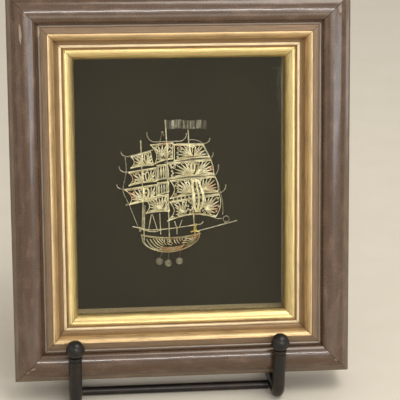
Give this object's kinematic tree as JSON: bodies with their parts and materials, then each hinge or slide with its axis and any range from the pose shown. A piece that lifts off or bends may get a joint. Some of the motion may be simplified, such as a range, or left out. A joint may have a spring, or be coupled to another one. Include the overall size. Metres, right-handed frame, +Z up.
{
  "type": "framed wire ship on a table easel",
  "caption": "Silver filigree sailing ship on black velvet in a brown and gilt shadow-box frame, leaning on a black rod easel.",
  "frame": {"origin": "on the table, under the middle of the whole object's box", "axes": "+Z up, front towards -Y, +X to the viewer's right"},
  "size_m": [0.185, 0.0956, 0.2179],
  "materials": {
    "brown_moulding": "satin",
    "glass": "clear",
    "tan_board": "matte",
    "black_velvet": "matte",
    "brown_board": "matte",
    "brass": "satin",
    "black_iron": "satin",
    "silver": "satin"
  },
  "bodies": {
    "root": {"backing_board": "brown_board", "bow_ring": "silver", "bowsprit": "silver", "deck_rail": "silver", "easel_ball_left": "black_iron", "easel_ball_right": "black_iron", "easel_bar_front": "black_iron", "easel_bar_top": "black_iron", "easel_rod_left": "black_iron", "easel_rod_right": "black_iron", "fore_mast": "silver", "fore_sail_lower": "silver", "fore_sail_middle": "silver", "fore_sail_top": "silver", "fore_sail_upper": "silver", "fore_yard_lower": "silver", "fore_yard_middle": "silver", "fore_yard_top": "silver", "fore_yard_upper": "silver", "glass_pane": "glass", "hanger_nail_left": "brass", "hanger_nail_right": "brass", "main_mast": "silver", "main_sail_lower": "silver", "main_sail_middle": "silver", "main_sail_top": "silver", "main_sail_upper": "silver", "mast_brace": "silver", "mizzen_mast": "silver", "mizzen_sail_lower": "silver", "mizzen_sail_middle": "silver", "mizzen_sail_top": "silver", "mizzen_yard_lower": "silver", "mizzen_yard_middle": "silver", "mizzen_yard_top": "silver", "pendant_1": "silver", "pendant_2": "silver", "pendant_3": "silver", "pennant_fore": "silver", "pennant_main": "silver", "rail_bottom": "brown_moulding", "rail_left": "brown_moulding", "rail_right": "brown_moulding", "rail_top": "brown_moulding", "royal_yard": "silver", "sawtooth_hanger": "brass", "sheet_line": "silver", "ship_hull": "silver", "spacer_bottom": "tan_board", "spacer_left": "tan_board", "spacer_right": "tan_board", "spacer_top": "tan_board", "stay_left": "silver", "stay_right": "silver", "velvet_mount": "black_velvet"}
  },
  "joints": []
}
